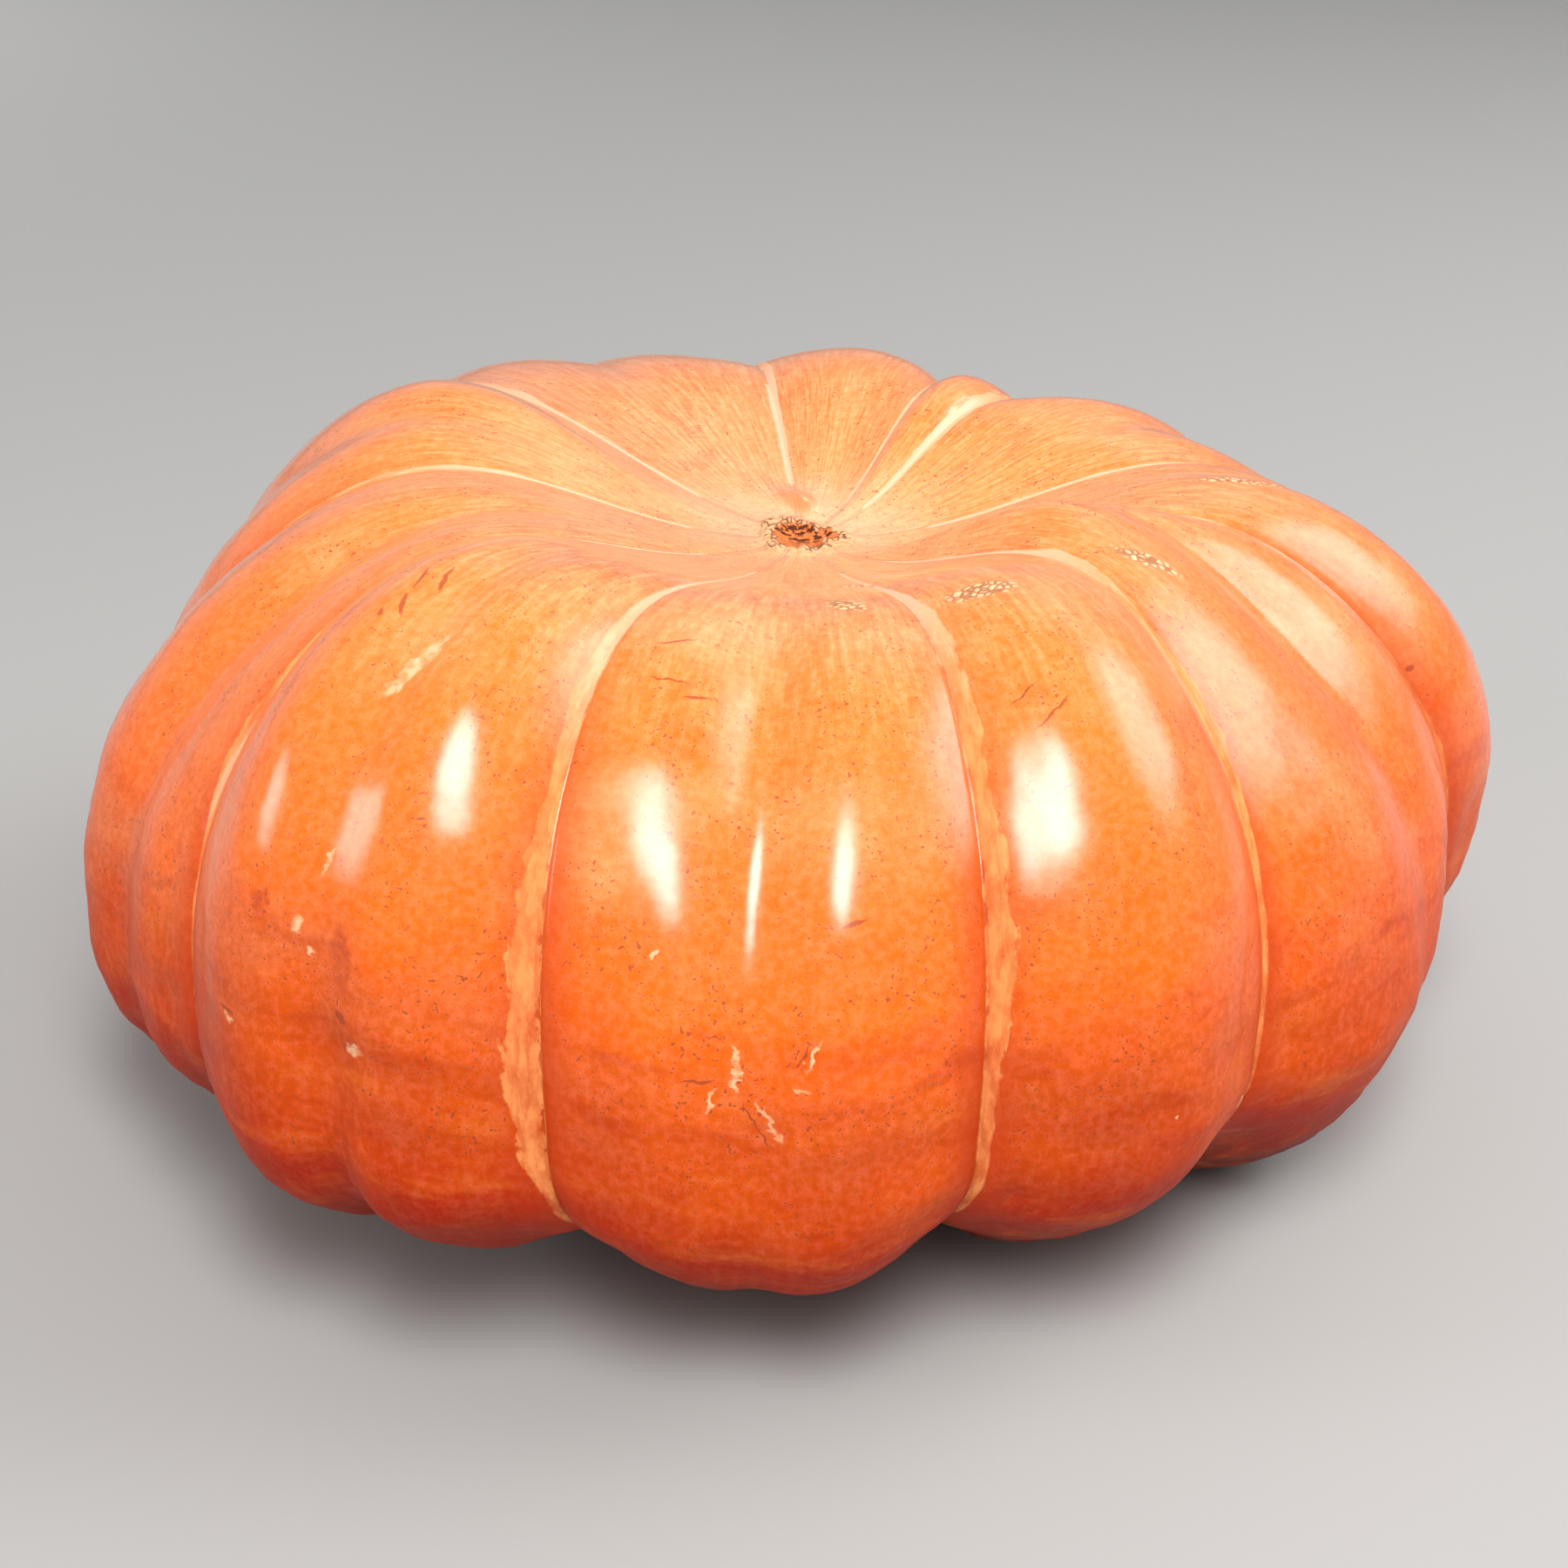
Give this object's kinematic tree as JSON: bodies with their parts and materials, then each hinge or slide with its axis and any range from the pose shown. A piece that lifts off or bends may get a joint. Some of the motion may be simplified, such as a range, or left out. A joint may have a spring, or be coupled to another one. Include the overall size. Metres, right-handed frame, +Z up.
{
  "type": "pumpkin",
  "caption": "Flat, deeply ribbed orange pumpkin with a sunken crown and a dry stem scar, resting on the flat spots of its base.",
  "frame": {"origin": "on the ground, at the middle of the bounding box's base", "axes": "+Z up, from the blossom end to the stem scar; -Y towards the lobe that the picture shows at the front; +X to the right of it"},
  "size_m": [0.4096, 0.4184, 0.2005],
  "materials": {
    "rind": "gloss"
  },
  "bodies": {
    "root": {"pumpkin": "rind"}
  },
  "joints": []
}
